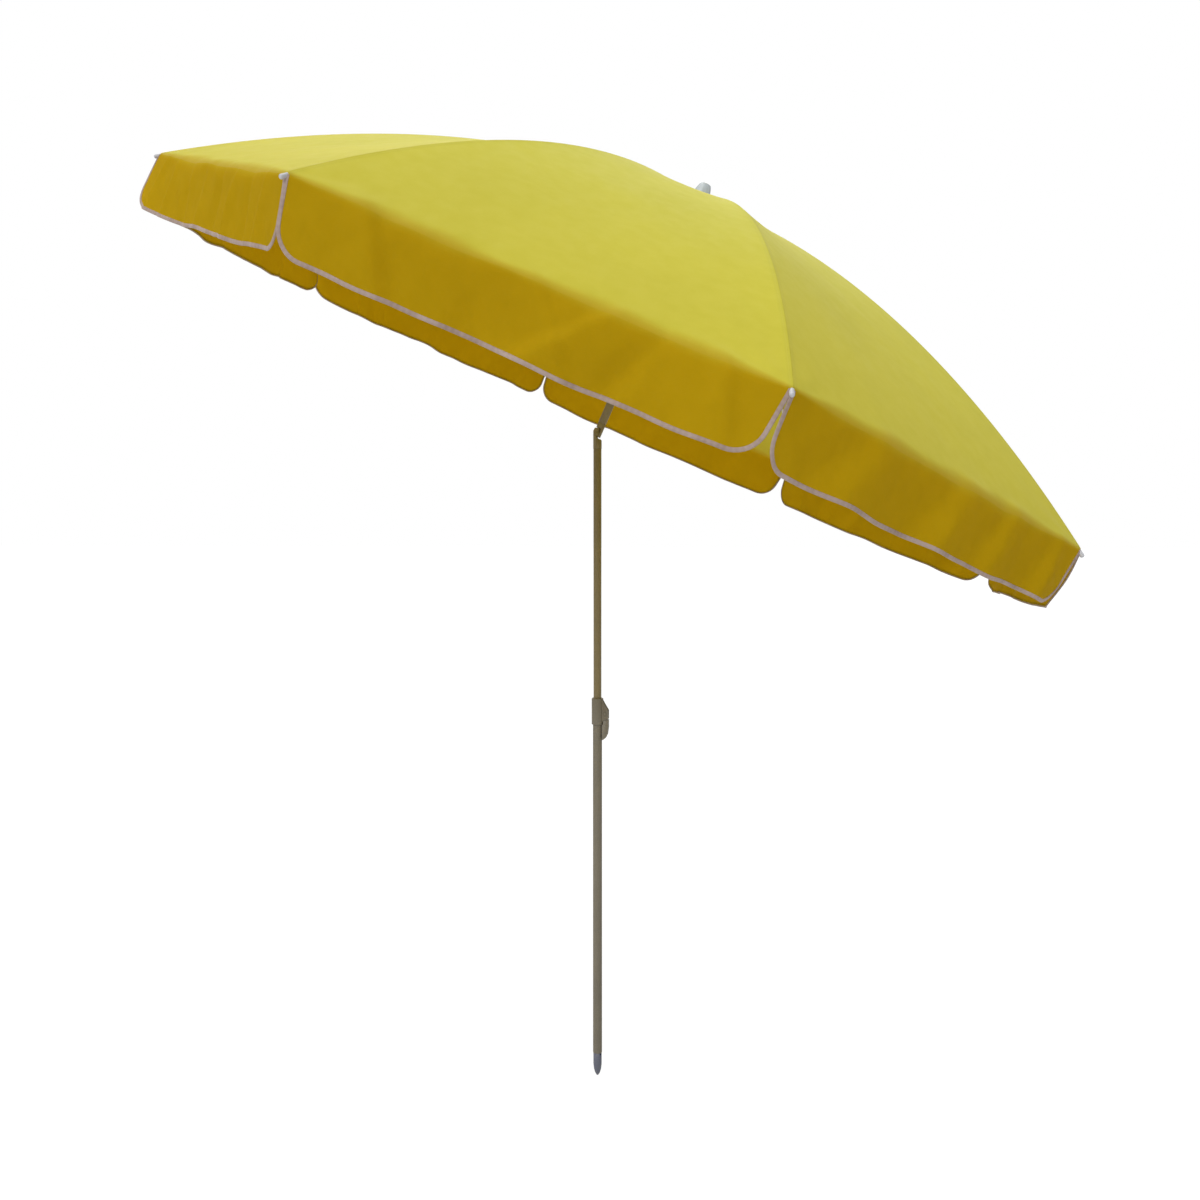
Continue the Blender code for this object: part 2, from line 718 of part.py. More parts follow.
def cover(crown):
    hinges, rims = [], []
    for i in range(GORES):
        angle = SECTOR * i
        place = (GORE_HINGE * math.cos(angle), GORE_HINGE * math.sin(angle), 0)
        hinge = axis_empty(f"gore_{i + 1}_axis", crown, place, (0, 0, angle))
        outward = FLAP_WEIGHT_LEAN * math.cos(angle) - FLAP_INWARD_LEAN
        rim_place = (RIM_X + 0.0015, 0, RIM_Z - 0.0015)
        rims.append(axis_empty(f"valance_{i + 1}_axis", hinge, rim_place, (0, -outward, 0)))
        hinges.append(hinge)
    numbers = range(1, GORES + 1)
    copies(gore_shape(), [f"gore_{i}" for i in numbers], YELLOW_CLOTH, hinges)
    copies(flap_shape(), [f"valance_{i}" for i in numbers], YELLOW_CLOTH, rims)


def main():
    clear_scene()
    ground_spike()
    lower_pole()
    clamp_collar()
    clamp_lever()
    upper_pole()
    tilt_fork()
    tilt_button()
    tilt_axis = axis_empty("tilt_axis", location=(0, 0, PIN_HEIGHT), rotation=(0, TILT, 0))
    crown = axis_empty("crown", tilt_axis, (0, 0, CROWN_DISTANCE))
    tilt_tongue(tilt_axis)
    head_pole(tilt_axis)
    runner_latch(tilt_axis)
    crown_parts(crown)
    finial(crown)
    runner(tilt_axis)
    ribs(crown)
    cover(crown)


main()
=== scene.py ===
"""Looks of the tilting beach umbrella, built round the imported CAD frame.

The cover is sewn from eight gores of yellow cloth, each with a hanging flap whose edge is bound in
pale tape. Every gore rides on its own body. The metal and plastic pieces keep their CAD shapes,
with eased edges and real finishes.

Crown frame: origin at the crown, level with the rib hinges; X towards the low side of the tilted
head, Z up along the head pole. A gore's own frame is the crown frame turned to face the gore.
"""

import json
import math
import random

import bmesh
import bpy
from mathutils import Matrix, Vector, noise

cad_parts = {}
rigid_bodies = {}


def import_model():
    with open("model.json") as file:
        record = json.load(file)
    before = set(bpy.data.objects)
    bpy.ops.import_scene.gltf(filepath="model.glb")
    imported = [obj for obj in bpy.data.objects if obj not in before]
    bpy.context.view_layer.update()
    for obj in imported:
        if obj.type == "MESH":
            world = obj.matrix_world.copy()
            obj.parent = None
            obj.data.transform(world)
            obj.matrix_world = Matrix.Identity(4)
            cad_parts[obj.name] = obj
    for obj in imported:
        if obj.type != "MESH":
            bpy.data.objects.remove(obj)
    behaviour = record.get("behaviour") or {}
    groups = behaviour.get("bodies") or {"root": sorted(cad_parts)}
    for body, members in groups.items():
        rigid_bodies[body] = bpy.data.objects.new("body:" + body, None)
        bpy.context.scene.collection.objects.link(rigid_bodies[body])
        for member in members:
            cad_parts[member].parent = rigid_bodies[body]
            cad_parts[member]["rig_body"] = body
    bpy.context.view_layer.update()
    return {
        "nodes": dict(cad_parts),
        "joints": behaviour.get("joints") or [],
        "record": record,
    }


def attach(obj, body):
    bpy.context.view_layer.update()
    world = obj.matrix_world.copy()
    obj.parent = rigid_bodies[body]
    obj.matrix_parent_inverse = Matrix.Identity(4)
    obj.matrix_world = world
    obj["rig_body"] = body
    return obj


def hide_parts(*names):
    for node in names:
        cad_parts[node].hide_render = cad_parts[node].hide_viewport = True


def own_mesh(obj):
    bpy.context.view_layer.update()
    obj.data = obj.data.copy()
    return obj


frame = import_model()

NODES = frame["nodes"]
JOINTS = {joint["name"]: joint for joint in frame["joints"]}
SLOT_OF = {part["node"]: part["material_slot"] for part in frame["record"]["subparts"]}

# Cover, in metres, as in the CAD model
GORES = 8
SECTOR = 2 * math.pi / GORES
HALF_COS = math.cos(SECTOR / 2)
HALF_SIN = math.sin(SECTOR / 2)
CANOPY_RADIUS = 1.10
DOME_DROP = 0.42
DOME_POWER = 1.87
CLOTH_LIFT = 0.0062
CLOTH_START = 0.018
RIM_RADIUS = 1.094
FLAP_LENGTH = 0.118
FLAP_CORNER = 0.045
FLAP_INWARD_LEAN = math.radians(5.9)
FLAP_WEIGHT_LEAN = math.radians(10.3)

# Cloth, in metres
CLOTH_THICKNESS = 0.0007
SEAM_GAP = 0.0001
GORE_SAG = 0.007
RIM_BEND = 0.044  # reach of the soft bend at the rim, on each side of it, in the middle of a gore
TIP_BEND = 0.009  # the same at the rib tips
RIM_SHARE = 0.62  # how much of the bend lies on the gore's side
RIM_STRIP = 0.052  # the outer part of a gore, with finer rows
FOLD_REACH = 0.05  # how far up a gore its flap's folds reach
FLAP_RIPPLE = 0.0040  # height of the small ripples between the folds
GORE_RIPPLE = 0.0035
PUCKER = 0.0007  # height of the puckers along the seams
TIP_CREASE = 0.0016  # height of the creases that fan out from the rib tips
LENGTH_VARIES = 0.045  # share by which the flaps' length varies
# Painted shade: a gore's colour turns part way to the flaps' shaded copy as it steepens towards its
# rim.
STEEP_SHADE_SHARE = 0.2  # how much a gore's look nears that of the flaps, down at its rim

# Rows and columns of the cloth meshes
GORE_ROWS, RIM_ROWS, GORE_COLUMNS = 58, 15, 60
BEND_ROWS, FLAP_ROWS, CORNER_ROWS, FLAP_COLUMNS = 12, 6, 9, 120
ROWS_CLOSE_UP = 1.4  # how fast the rows close up towards the rim

# Weave, in scales of Blender's wave texture, which has a wave every 0.314 m at scale 1
WEAVE_SCALE = 45.5  # a raised thread every 6.9 mm, both ways
TAPE_RIB_SCALE = 32.0  # a rib every 9.8 mm

# Stitching and seams, in metres
HEM = 0.0045  # from the cloth's edge to its row of stitches
STITCH_FADE = (0.0004, 0.0009)  # where the row fades out, from its middle
STITCH_PITCH = 0.004
STITCH_GAP = (0.33, 0.40)  # where a stitch ends, as a share of the pitch from its middle
ALLOWANCE_FADE = (0.0075, 0.0105)  # where the doubled cloth ends, from the seam

# Studio
WORLD_STRENGTH = 0.42
SUNS = (  # name, strength, angle that it fills in degrees, turn about X, Y and Z in degrees
    ("overhead", 1.55, 60, (4, -11, 0)),
    ("from_left", 1.0, 30, (52, -31, 0)),
    ("from_behind", 1.1, 40, (-58, -12, 0)),
)
FLOOR_SIZE = 160
FLOOR_HEIGHT = -0.0005
FLOOR_WHITE_SHARE = 0.8
FLOOR_WHITE_STRENGTH = 1.15
CAMERA_PLACE = (0.006, -2.744, 1.328)  # before it is turned about the pole
CAMERA_TURN = 0.158
CAMERA_DOWN = 0.061
CAMERA_LENS = 34.69


# ---------------------------------------------------------------- places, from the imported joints


def crown_matrix():
    """Crown frame to row frame."""
    hinges = [Vector(JOINTS[f"rib_{i + 1}_fold"]["pos_m"]) for i in range(GORES)]
    up = -Vector(JOINTS["runner_slide"]["axis"]).normalized()
    side = Vector((0, 1, 0))
    turn = Matrix((side.cross(up), side, up)).transposed()
    return Matrix.Translation(sum(hinges, Vector()) / GORES) @ turn.to_4x4()


CROWN = crown_matrix()


def gore_matrix(index):
    """Frame of gore 0 to 7 to row frame."""
    return CROWN @ Matrix.Rotation(SECTOR * index, 4, "Z")


# ---------------------------------------------------------------- material building blocks


class Shader:
    """Short calls for building one node-based material."""

    def __init__(self, name):
        self.material = bpy.data.materials.new(name)
        self.material.use_nodes = True
        self.tree = self.material.node_tree
        self.surface = self.tree.nodes["Principled BSDF"]
        self.output = self.tree.nodes["Material Output"]

    def node(self, kind, inputs=(), **settings):
        made = self.tree.nodes.new(kind)
        for key, value in settings.items():
            setattr(made, key, value)
        for socket, value in dict(inputs).items():
            self.plug(value, made.inputs[socket])
        return made

    def plug(self, value, socket):
        if isinstance(value, bpy.types.NodeSocket):
            self.tree.links.new(value, socket)
        else:
            socket.default_value = value

    def set(self, **values):
        """Sets or links the surface's sockets, named in lower case with underscores for spaces."""
        sockets = {socket.name.lower().replace(" ", "_"): socket for socket in self.surface.inputs}
        for name, value in values.items():
            self.plug((*value, 1) if isinstance(value, tuple) else value, sockets[name])

    def maths(self, operation, first, second=0.0, third=0.0):
        node = self.node("ShaderNodeMath", operation=operation)
        for socket, value in zip(node.inputs, (first, second, third)):
            self.plug(value, socket)
        return node.outputs[0]

    def place(self, kind="Object", scale=(1, 1, 1)):
        coordinates = self.node("ShaderNodeTexCoord")
        mapping = self.node("ShaderNodeMapping", {"Vector": coordinates.outputs[kind], "Scale": scale})
        return mapping.outputs["Vector"]

    def noise(self, vector, scale, detail=3.0, roughness=0.5):
        inputs = {"Vector": vector, "Scale": scale, "Detail": detail, "Roughness": roughness}
        return self.node("ShaderNodeTexNoise", inputs).outputs["Fac"]

    def ramp(self, value, low, high, start, end):
        """Maps value from low..high to start..end."""
        inputs = {"Value": value, "From Min": low, "From Max": high, "To Min": start, "To Max": end}
        return self.node("ShaderNodeMapRange", inputs).outputs["Result"]

    def blend(self, factor, first, second, mode="MIX"):
        node = self.node("ShaderNodeMix", data_type="RGBA", blend_type=mode)
        self.plug(factor, node.inputs["Factor"])
        for socket, value in ((node.inputs["A"], first), (node.inputs["B"], second)):
            colour = [s for s in node.inputs if s.name == socket.name and s.type == "RGBA"][0]
            self.plug(value if isinstance(value, bpy.types.NodeSocket) else (*value, 1), colour)
        return [s for s in node.outputs if s.type == "RGBA"][0]

    def bump(self, height, distance, strength=1.0, under=None):
        inputs = {"Height": height, "Distance": distance, "Strength": strength}
        if under is not None:
            inputs["Normal"] = under
        return self.node("ShaderNodeBump", inputs).outputs["Normal"]


# ---------------------------------------------------------------- materials


def cloth_material(name, sheen, gloss):
    """Plain-weave cloth, a little translucent, with thread rows along its seams and hems. Its colour
    holds painted light and shade: a lit copy on top, a shaded copy where it hangs, and a little painted
    shade along the seams.
    """
    shader = Shader(name)
    flat = shader.node("ShaderNodeUVMap", uv_map="cloth").outputs["UV"]
    lines = []
    for direction in ("X", "Y"):
        inputs = {"Vector": flat, "Scale": WEAVE_SCALE}
        wave = shader.node("ShaderNodeTexWave", inputs, bands_direction=direction)
        lines.append(wave.outputs["Fac"])
    weave = shader.maths("MULTIPLY", lines[0], lines[1])
    hang_and_painted_shade = shader.node("ShaderNodeAttribute", attribute_name="hang_and_painted_shade").outputs["Fac"]
    seam = shader.node("ShaderNodeAttribute", attribute_name="seam_distance").outputs["Fac"]
    off_row = shader.maths("ABSOLUTE", shader.maths("SUBTRACT", seam, HEM))
    row = shader.ramp(off_row, *STITCH_FADE, 1, 0)
    split = shader.node("ShaderNodeSeparateXYZ", {"Vector": flat})
    along = shader.maths("FRACT", shader.maths("MULTIPLY", split.outputs["Y"], 1 / STITCH_PITCH))
    off_middle = shader.maths("ABSOLUTE", shader.maths("SUBTRACT", along, 0.5))
    dash = shader.ramp(off_middle, *STITCH_GAP, 1, 0)
    stitch = shader.maths("MULTIPLY", row, dash)
    layers = shader.ramp(seam, *ALLOWANCE_FADE, 1, 0)  # the seam allowance doubles the cloth
    here = shader.place()
    broad = shader.noise(here, 2.3, 2.0)
    fine = shader.noise(here, 34.0, 4.0)
    slub = shader.noise(shader.place("Object", (1, 1, 9)), 190.0, 2.0)
    # Painted light and shade: the lit copy on top turns into the shaded copy where the cloth hangs.
    tone = shader.blend(hang_and_painted_shade, LIT_TOP_YELLOW, SHADED_FLAP_GOLD)
    tone = shader.blend(shader.ramp(broad, 0.3, 0.7, 0, 0.07), tone, (0, 0, 0))
    tone = shader.blend(shader.ramp(fine, 0.35, 0.7, 0, 0.04), tone, (0, 0, 0))
    tone = shader.blend(shader.ramp(slub, 0.45, 0.75, 0, 0.05), tone, (0.9, 0.8, 0.2))
    # Painted shade: the cloth is a little darker where the seam allowance doubles it and holds back the
    # light from behind.
    tone = shader.blend(shader.maths("MULTIPLY", layers, 0.035), tone, (0, 0, 0))
    tone = shader.blend(shader.maths("MULTIPLY", stitch, 0.07), tone, (0.9, 0.85, 0.3))
    height = shader.maths("MULTIPLY", weave, 0.22)
    height = shader.maths("ADD", height, shader.maths("MULTIPLY", stitch, 0.5))
    height = shader.maths("ADD", height, shader.maths("MULTIPLY", layers, 0.3))
    crinkle = shader.bump(shader.noise(here, 9.0, 5.0, 0.55), 0.0020, 0.3)
    normal = shader.bump(height, 0.0003, 0.8, crinkle)
    shader.set(base_color=tone, roughness=shader.ramp(fine, 0.3, 0.7, 0.68, 0.82), normal=normal)
    shader.set(sheen_weight=sheen, sheen_roughness=0.4, specular_ior_level=gloss)
    through = shader.node("ShaderNodeBsdfTranslucent", {"Color": (*GLOW, 1), "Normal": normal})
    share = shader.ramp(hang_and_painted_shade, 0, 1, 0.22, 0.45)
    mix = shader.node("ShaderNodeMixShader", {"Fac": share})
    shader.plug(shader.surface.outputs["BSDF"], mix.inputs[1])
    shader.plug(through.outputs["BSDF"], mix.inputs[2])
    shader.plug(mix.outputs["Shader"], shader.output.inputs["Surface"])
    return shader.material


def tape_material():
    """Pale ribbed binding tape."""
    shader = Shader("binding_tape")
    flat = shader.node("ShaderNodeUVMap", uv_map="cloth").outputs["UV"]
    inputs = {"Vector": flat, "Scale": TAPE_RIB_SCALE}
    rib = shader.node("ShaderNodeTexWave", inputs, bands_direction="Y")
    here = shader.place()
    soil = shader.noise(here, 22.0, 4.0)
    tone = shader.blend(shader.ramp(soil, 0.35, 0.65, 0, 1), (0.43, 0.325, 0.28), (0.31, 0.215, 0.17))
    tone = shader.blend(shader.ramp(rib.outputs["Fac"], 0, 1, 0, 0.2), tone, (0.50, 0.41, 0.37))
    normal = shader.bump(rib.outputs["Fac"], 0.0002, 0.7)
    shader.set(base_color=tone, roughness=0.7, normal=normal, sheen_weight=0.1)
    return shader.material


def paint_material(name, colour, roughness, wear=0.0, metallic=0.0):
    """Painted or plated metal with faint orange peel, fine scuffs and worn high spots."""
    shader = Shader(name)
    here = shader.place()
    cloud = shader.noise(here, 7.0, 3.0)
    streaks = shader.noise(shader.place("Object", (60, 60, 2.5)), 3.0, 5.0, 0.65)
    speck = shader.noise(here, 420.0, 2.0)
    dark, light = [c * 0.86 for c in colour], [min(1, c * 1.08) for c in colour]
    tone = shader.blend(shader.ramp(cloud, 0.3, 0.7, 0, 1), dark, light)
    bright = [min(1, c * 1.5) for c in colour]
    tone = shader.blend(shader.ramp(streaks, 0.62, 0.72, 0, 0.22), tone, bright)
    if wear:
        edge = shader.node("ShaderNodeNewGeometry").outputs["Pointiness"]
        worn = shader.maths("MULTIPLY", shader.ramp(edge, 0.52, 0.58, 0, wear), speck)
        tone = shader.blend(worn, tone, (0.42, 0.41, 0.39))
    gloss = shader.ramp(streaks, 0.3, 0.75, roughness - 0.05, roughness + 0.12)
    normal = shader.bump(shader.noise(here, 260.0, 2.0), 0.00012, 0.35)
    shader.set(base_color=tone, roughness=gloss, normal=normal, metallic=metallic)
    shader.set(specular_ior_level=0.3)
    return shader.material


def plastic_material(name, colour, roughness, see_through=0.0):
    """Moulded plastic with a faint flow pattern and a fine satin grain."""
    shader = Shader(name)
    here = shader.place()
    flow = shader.noise(here, 24.0, 3.0)
    grain = shader.noise(here, 900.0, 2.0)
    tone = shader.blend(shader.ramp(flow, 0.3, 0.7, 0, 1), [c * 0.92 for c in colour], colour)
    shader.set(base_color=tone, roughness=shader.ramp(flow, 0.3, 0.7, roughness, roughness + 0.1))
    shader.set(normal=shader.bump(grain, 0.00005, 0.4))
    shader.set(transmission_weight=see_through)
    return shader.material


def floor_material():
    """A pale floor that is shown white to the camera, while the light it sends up stays soft."""
    shader = Shader("pale_floor")
    tone = shader.blend(shader.noise(shader.place(), 1.2, 2.0), (0.57, 0.57, 0.57), (0.60, 0.60, 0.60))
    shader.set(base_color=tone, roughness=0.9, emission_color=(1.0, 1.0, 1.0), emission_strength=0.10)
    inputs = {"Color": (1, 1, 1, 1), "Strength": FLOOR_WHITE_STRENGTH}
    white = shader.node("ShaderNodeEmission", inputs)
    seen = shader.node("ShaderNodeLightPath").outputs["Is Camera Ray"]
    mix = shader.node("ShaderNodeMixShader", {"Fac": shader.maths("MULTIPLY", seen, FLOOR_WHITE_SHARE)})
    shader.plug(shader.surface.outputs["BSDF"], mix.inputs[1])
    shader.plug(white.outputs["Emission"], mix.inputs[2])
    shader.plug(mix.outputs["Shader"], shader.output.inputs["Surface"])
    return shader.material


# Cloth colours. The cover is one cloth. The top uses a lit copy of its colour, with a painted whitish
# sheen. The flaps use a shaded copy, darker and more orange. So these are painted light and painted
# shade.
LIT_TOP_YELLOW = (0.73, 0.72, 0.066)  # on top
SHADED_FLAP_GOLD = (0.550, 0.392, 0.004)  # on the flaps
GLOW = (0.85, 0.60, 0.006)  # of the light that comes through

LOOKS = {
    "taupe_paint": paint_material("taupe_paint", (0.180, 0.152, 0.102), 0.42, 0.4),
    "khaki_paint": paint_material("khaki_paint", (0.205, 0.146, 0.040), 0.42, 0.4),
    "spike": paint_material("spike_metal", (0.150, 0.160, 0.225), 0.30, 0.6, 0.35),
    "steel": paint_material("plated_steel", (0.55, 0.55, 0.56), 0.26, 0.0, 1.0),
    "white_plastic": plastic_material("white_plastic", (0.56, 0.56, 0.58), 0.34),
    "clear_plastic": plastic_material("milky_plastic", (0.70, 0.76, 0.84), 0.20, 0.35),
    "black_plastic": plastic_material("black_plastic", (0.030, 0.030, 0.032), 0.45),
    "rib_paint": paint_material("rib_paint", (0.70, 0.70, 0.68), 0.35, 0.0),
    "cover_cloth": cloth_material("cover_cloth", 0.06, 0.25),
    "valance_cloth": cloth_material("valance_cloth", 0.0, 0.05),
}
TAPE = tape_material()


# ---------------------------------------------------------------- mesh building blocks


def object_from(work, name, smooth_deg=None):
    """A bmesh as an object of this name, in the row frame."""
    mesh = bpy.data.meshes.new(name)
    work.to_mesh(mesh)
    work.free()
    mesh.shade_smooth()
    if smooth_deg is not None:
        mesh.set_sharp_from_angle(angle=math.radians(smooth_deg))
    obj = bpy.data.objects.new(name, mesh)
    bpy.context.scene.collection.objects.link(obj)
    return obj


def grid_object(name, points, flat, edge_distance, hanging, matrix):
    """A cloth sheet from rows of points, with its flat coordinates, its distance from a seam and
    how much of it hangs, from 0 on a gore to 1 on a flap, which also sets its painted light and shade."""
    work = bmesh.new()
    seam = work.verts.layers.float.new("seam_distance")
    hang_and_painted_shade = work.verts.layers.float.new("hang_and_painted_shade")
    rows = []
    for j, row in enumerate(points):
        made = []
        for i, point in enumerate(row):
            vert = work.verts.new(matrix @ Vector(point))
            vert[seam] = edge_distance[j][i]
            vert[hang_and_painted_shade] = hanging[j][i]
            made.append(vert)
        rows.append(made)
    uv = work.loops.layers.uv.new("cloth")
    for j in range(len(rows) - 1):
        for i in range(len(rows[0]) - 1):
            corners = ((j, i), (j, i + 1), (j + 1, i + 1), (j + 1, i))
            face = work.faces.new([rows[a][b] for a, b in corners])
            for loop, (a, b) in zip(face.loops, corners):
                loop[uv].uv = flat[a][b]
    obj = object_from(work, name)
    thick = obj.modifiers.new("thickness", "SOLIDIFY")
    thick.thickness = CLOTH_THICKNESS
    thick.offset = 0
    thick.use_rim = False  # the edges lie in seams and under the binding
    return obj


def smooth(value):
    value = min(1.0, max(0.0, value))
    return value * value * (3 - 2 * value)


# ---------------------------------------------------------------- the shape of the cloth


def drop(radius):
    """How far the dome lies below the crown at this distance from the head's axis."""
    return DOME_DROP * (radius / CANOPY_RADIUS) ** DOME_POWER


def dome_slope(radius):
    """Downward slope angle along the middle of a gore."""
    rise = DOME_DROP * DOME_POWER / CANOPY_RADIUS * (radius / CANOPY_RADIUS) ** (DOME_POWER - 1)
    return math.atan(rise / HALF_COS)


HALF_RIM = RIM_RADIUS * HALF_SIN - SEAM_GAP
RIM_SLOPE = dome_slope(RIM_RADIUS)

# How far each flap's left and right side swings outwards more than its middle, in degrees.
FLAP_SWAY = ((-2, 2), (0, 2), (2, 0), (0, 1), (-2, -12), (17, -5), (1, 2), (-2, -2))

# How far each flap's left and right side leans in, down to its rounded corner, in metres.
SIDE_LEAN = (
    (0.010, 0.010),
    (0.010, 0.010),
    (0.010, 0.010),
    (0.010, 0.010),
    (0.010, 0.012),
    (-0.003, 0.012),
    (0.012, 0.008),
    (0.004, 0.012),
)

FOLD_FACE = 2.3  # how much steeper a fold is on the side that it leans to

# Folds of three flaps side by side: place across, slant, width, height out. The rest are random.
FOLDS = {
    5: (
        (-0.33, -0.3, 0.030, 0.0080),
        (-0.24, -0.3, 0.024, 0.0055),
        (-0.13, -0.2, 0.030, -0.0055),
        (-0.02, -0.2, 0.036, 0.0060),
        (0.08, -0.3, 0.026, -0.0060),
        (0.17, -0.4, 0.024, 0.0070),
        (0.25, -0.2, 0.020, -0.0055),
        (0.33, -0.3, 0.026, 0.0070),
    ),
    6: (
        (-0.275, 0.5, 0.060, 0.0210),
        (-0.10, 0.4, 0.110, -0.0150),
        (0.01, 0.7, 0.050, 0.0090),
        (0.13, -0.9, 0.046, 0.0140),
        (0.215, -0.5, 0.040, -0.0130),
        (0.32, 0.3, 0.050, 0.0130),
    ),
    7: (
        (-0.195, -0.45, 0.105, 0.0260),
        (0.045, -0.40, 0.090, 0.0260),
        (0.195, -0.40, 0.075, 0.0230),
        (0.350, -0.20, 0.045, 0.0150),
    ),
}


def flap_folds(index):
    """Folds as (place across, slant, width, height), spread over the flap and never twice alike."""
    if index in FOLDS:
        return FOLDS[index]
    draw = random.Random(40 + index)
    count = draw.choice((5, 6, 7))
    folds = []
    for i in range(count):
        place = HALF_RIM * (2 * (i + draw.uniform(0.2, 0.8)) / count - 1)
        height = draw.uniform(0.006, 0.011) * (1 if i % 2 else -1)
        folds.append((place, draw.uniform(-0.6, 0.6), draw.uniform(0.035, 0.070), height))
    return folds


ALL_FOLDS = [flap_folds(index) for index in range(GORES)]


def stand_out(index, y, depth):
    """How far the cover stands out from its plain shape. Depth runs down from the rim."""
    widening = 0.55 + 0.6 * (max(0.0, depth) / FLAP_LENGTH)
    total = 0.0
    for place, slant, width, height in ALL_FOLDS[index]:
        away = (y - place - slant * depth) / (width * widening)
        if away * height * slant > 0:
            away *= FOLD_FACE
        total += height * math.exp(-away * away)
    grown = 0.32 * smooth((depth + 0.045) / 0.06) + 0.68 * smooth((depth + 0.005) / 0.10)
    ripple = noise.fractal(Vector((y * 13, depth * 9, index * 9.1)), 1.0, 2.1, 3)
    total = grown * total + FLAP_RIPPLE * ripple * smooth((depth + 0.03) / 0.06)
    from_tip = math.hypot(HALF_RIM - abs(y), depth)
    return total * smooth(from_tip / 0.10)


def hang_slope(index, y):
    """How steeply a flap hangs: gravity pulls each one towards the plumb line."""
    left, right = FLAP_SWAY[index]
    share = y / HALF_RIM
    sway = math.radians((left * max(0, -share) ** 2 + right * max(0, share) ** 2))
    outward = FLAP_WEIGHT_LEAN * math.cos(SECTOR * index) - FLAP_INWARD_LEAN + sway
    return math.pi / 2 - outward


def bend_length(index, y):
    """Reach of the soft bend at the rim, on each side of it. It's tight at the rib tips."""
    share = min(1.0, abs(y) / HALF_RIM)
    ripple = noise.noise(Vector((y * 11, index * 3.7, 0.4)))
    return TIP_BEND + (RIM_BEND - TIP_BEND) * (1 - share**3) * (0.8 + 0.7 * ripple)


def rim_bend_angle(index, y):
    """The part of the bend at the rim that lies on the gore's side."""
    return (hang_slope(index, y) - RIM_SLOPE) * RIM_SHARE


def hanging_share(index, y, depth):
    """0 on top of the cover and 1 on its flaps, with the soft change of the rim between them. It blends
    the painted lit top into the painted shaded flaps, and it sets how much light comes through.
    """
    return smooth(0.70 + depth / (1.2 * bend_length(index, y)))


def tip_creases(index, y, from_rim):
    """Fine creases that fan out from the two rib tips, where the cover is stretched."""
    total = 0.0
    for side in (-1, 1):
        across, along = HALF_RIM - side * y, from_rim
        distance = math.hypot(across, along)
        angle = math.atan2(along, across + 1e-6)
        wave = math.sin(9 * angle + 1.7 * index + side)
        total += TIP_CREASE * wave * smooth(distance / 0.03) * math.exp(-distance / 0.11)
    return total


def gore_point(index, radius, share, from_rim):
    """A point of a gore, share from -1 to 1 across it, in the gore's own frame."""
    half = radius * HALF_SIN - SEAM_GAP
    y = share * half
    slope = dome_slope(radius)
    at_rim = share * HALF_RIM
    bend = bend_length(index, at_rim)
    turned, inward = 0.0, 0.0
    if from_rim < bend:
        left = 1 - from_rim / bend
        turned = rim_bend_angle(index, at_rim) * left**2
        inward = turned * left * bend / 3
    middle = 1 - share * share
    sag = GORE_SAG * middle * math.sin(math.pi * min(1.0, radius / RIM_RADIUS)) ** 0.8
    calm = smooth(from_rim / 0.08) * smooth(radius / 0.15) * middle
    ripple = noise.fractal(Vector((radius * 3.1, y * 4.3, index * 5.3)), 1.0, 2.0, 3)
    puckers = PUCKER * math.sin(y * 95 + index) * math.exp(-((1 - abs(share)) * half) / 0.02)
    crease = tip_creases(index, y, from_rim)
    crease *= smooth(from_rim / 0.03) * smooth((1 - abs(share)) / 0.06)
    depth = inward + sag + GORE_RIPPLE * ripple * calm + crease + puckers * calm
    out = 0.0
    if from_rim < FOLD_REACH:
        out = stand_out(index, at_rim, -from_rim)
    x = radius * HALF_COS - depth * math.sin(slope) + out * math.sin(slope + turned)
    z = CLOTH_LIFT - drop(radius) - depth * math.cos(slope) + out * math.cos(slope + turned)
    return (x, y, z)


def gore_rows():
    """Rib radii of a gore's rows with each row's distance from the rim, closer together there."""
    fine = RIM_RADIUS - RIM_STRIP
    rows = [CLOTH_START + (fine - CLOTH_START) * j / GORE_ROWS for j in range(GORE_ROWS)]
    for j in range(RIM_ROWS + 1):
        rows.append(RIM_RADIUS - RIM_STRIP * (1 - j / RIM_ROWS) ** ROWS_CLOSE_UP)
    distances = [0.0]
    for outer, inner in zip(reversed(rows), reversed(rows[:-1])):
        run = (outer - inner) * HALF_COS
        distances.append(distances[-1] + math.hypot(run, drop(outer) - drop(inner)))
    return list(zip(rows, reversed(distances)))


def gore_cloth(index):
    """One gore, from the crown to the rim."""
    shares = [2 * i / GORE_COLUMNS - 1 for i in range(GORE_COLUMNS + 1)]
    points, flat, edges, hanging = [], [], [], []
    for radius, from_rim in gore_rows():
        half = radius * HALF_SIN
        points.append([gore_point(index, radius, share, from_rim) for share in shares])
        flat.append([(share * half, -from_rim) for share in shares])
        edges.append([(1 - abs(share)) * half for share in shares])
        # Painted shade, growing towards the steep rim. It also raises the translucency.
        steep_shade = STEEP_SHADE_SHARE * (radius / RIM_RADIUS) ** 2
        rims = [hanging_share(index, share * HALF_RIM, -from_rim) for share in shares]
        hanging.append([steep_shade + (1 - steep_shade) * rim for rim in rims])
    obj = grid_object(f"gore_{index + 1}_cloth", points, flat, edges, hanging, gore_matrix(index))
    obj.data.materials.append(LOOKS["cover_cloth"])
    return obj


